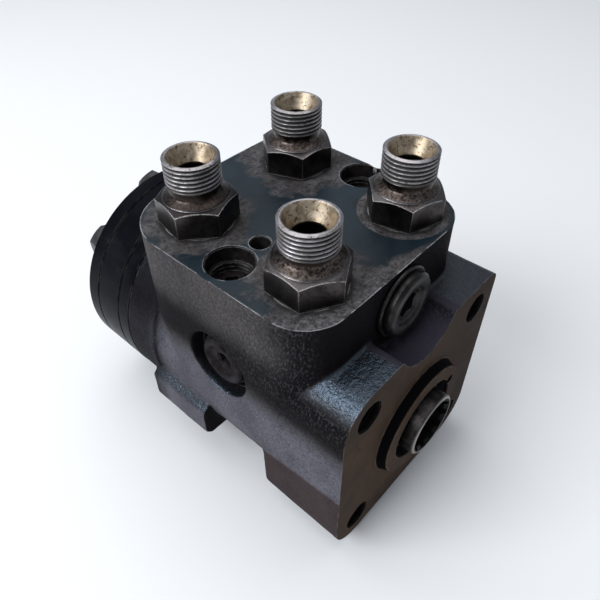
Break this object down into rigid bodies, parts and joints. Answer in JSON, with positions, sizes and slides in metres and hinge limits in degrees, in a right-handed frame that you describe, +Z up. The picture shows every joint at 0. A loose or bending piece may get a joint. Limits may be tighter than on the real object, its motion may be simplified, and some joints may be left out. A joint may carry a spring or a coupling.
{
  "type": "hydrostatic steering control unit",
  "caption": "Cast valve body with upward threaded port adapters, a square bolting flange around a splined spool end, and a round gerotor section with a bolted rear cover.",
  "frame": {"origin": "on the ground below the middle of the unit", "axes": "+Z up towards the port adapters, -Y out of the mounting flange along the spool axis, +X to the right seen from the flange"},
  "size_m": [0.088, 0.1422, 0.1232],
  "materials": {
    "housing_casting": "worn gloss black paint over cast iron, bare at the machined faces",
    "gear_section_paint": "gloss black paint",
    "blackened_bolts": "painted over with the cover",
    "adapter_steel": "worn zinc plating with oily grime",
    "plug_steel": "worn turned steel",
    "washer_metal": "pressed ring, grimy",
    "spring_steel": "drawn wire",
    "nitrile_rubber": "matte black",
    "ground_steel": "ground and lapped",
    "hardened_steel": "machined and hardened"
  },
  "bodies": {
    "housing": {"bearing_race_inner": "ground_steel", "bearing_race_outer": "ground_steel", "bolt_washer_1": "washer_metal", "bolt_washer_2": "washer_metal", "bolt_washer_3": "washer_metal", "bolt_washer_4": "washer_metal", "bolt_washer_5": "washer_metal", "bolt_washer_6": "washer_metal", "bolt_washer_7": "washer_metal", "check_bush": "plug_steel", "cover_bolt_1": "blackened_bolts", "cover_bolt_2": "blackened_bolts", "cover_bolt_3": "blackened_bolts", "cover_bolt_4": "blackened_bolts", "cover_bolt_5": "blackened_bolts", "cover_bolt_6": "blackened_bolts", "cover_bolt_7": "blackened_bolts", "cover_o_ring": "nitrile_rubber", "distributor_plate": "gear_section_paint", "dust_seal": "nitrile_rubber", "end_cover": "gear_section_paint", "gerotor_ring": "gear_section_paint", "housing_o_ring": "nitrile_rubber", "needle_cage": "ground_steel", "port_adapter_front_left": "adapter_steel", "port_adapter_front_right": "adapter_steel", "port_adapter_rear_left": "adapter_steel", "port_adapter_rear_right": "adapter_steel", "port_seal_front_left": "nitrile_rubber", "port_seal_front_right": "nitrile_rubber", "port_seal_rear_left": "nitrile_rubber", "port_seal_rear_right": "nitrile_rubber", "relief_plug": "plug_steel", "relief_seat": "hardened_steel", "relief_spring": "spring_steel", "relief_washer": "washer_metal", "ring_o_ring": "nitrile_rubber", "shaft_seal": "nitrile_rubber", "shock_plug_left": "plug_steel", "shock_plug_right": "plug_steel", "shock_spring_left": "spring_steel", "shock_spring_right": "spring_steel", "side_plug": "plug_steel", "side_washer": "washer_metal", "valve_housing": "housing_casting"},
    "sleeve": {"control_sleeve": "ground_steel", "cross_pin": "ground_steel", "centering_spring_upper": "spring_steel", "centering_spring_lower": "spring_steel"},
    "spool": {"control_spool": "ground_steel"},
    "orbit_spacer": {"drive_spacer": "hardened_steel"},
    "rotor": {"gerotor_rotor": "ground_steel"},
    "drive": {"drive_shaft": "hardened_steel"},
    "relief_poppet": {"relief_poppet": "hardened_steel"},
    "shock_ball_left": {"shock_ball_left": "hardened_steel"},
    "shock_ball_right": {"shock_ball_right": "hardened_steel"},
    "check_ball": {"check_ball": "hardened_steel"}
  },
  "joints": [
    {"name": "sleeve_spin", "type": "hinge", "parent": "housing", "child": "sleeve", "pos_m": [0, -0.03005, 0.0423], "axis": [0, -1, 0], "continuous": true},
    {"name": "spool_lead", "type": "hinge", "parent": "sleeve", "child": "spool", "pos_m": [0, -0.03005, 0.0423], "axis": [0, -1, 0], "range_deg": [-9.5, 9.5], "stiffness_Nm_per_rad": 2, "deforming": ["centering_spring_upper", "centering_spring_lower"]},
    {"name": "rotor_orbit", "type": "hinge", "parent": "housing", "child": "orbit_spacer", "pos_m": [0, 0.05025, 0.0423], "axis": [0, -1, 0], "continuous": true},
    {"name": "rotor_spin", "type": "hinge", "parent": "orbit_spacer", "child": "rotor", "pos_m": [0, 0.05025, 0.0449], "axis": [0, -1, 0], "continuous": true},
    {"name": "drive_spin", "type": "hinge", "parent": "orbit_spacer", "child": "drive", "pos_m": [0, -0.03005, 0.0423], "axis": [0, -0.9995, -0.0324], "continuous": true},
    {"name": "relief_lift", "type": "slide", "parent": "housing", "child": "relief_poppet", "axis": [0, -1, 0], "range_m": [0, 0.0015], "stiffness_N_per_m": 9000, "springref_m": -0.0015, "deforming": ["relief_spring"]},
    {"name": "shock_lift_left", "type": "slide", "parent": "housing", "child": "shock_ball_left", "axis": [0, 0, 1], "range_m": [0, 0.0012], "stiffness_N_per_m": 4000, "springref_m": -0.0012, "deforming": ["shock_spring_left"]},
    {"name": "shock_lift_right", "type": "slide", "parent": "housing", "child": "shock_ball_right", "axis": [0, 0, 1], "range_m": [0, 0.0012], "stiffness_N_per_m": 4000, "springref_m": -0.0012, "deforming": ["shock_spring_right"]},
    {"name": "check_lift", "type": "slide", "parent": "housing", "child": "check_ball", "axis": [0, 0, 1], "range_m": [0, 0.002]}
  ],
  "couplings": [
    {"joint": "rotor_orbit", "follows": "rotor_spin", "ratio": -0.85714},
    {"joint": "drive_spin", "follows": "rotor_spin", "ratio": 1},
    {"joint": "sleeve_spin", "follows": "rotor_spin", "ratio": 0.14286}
  ]
}
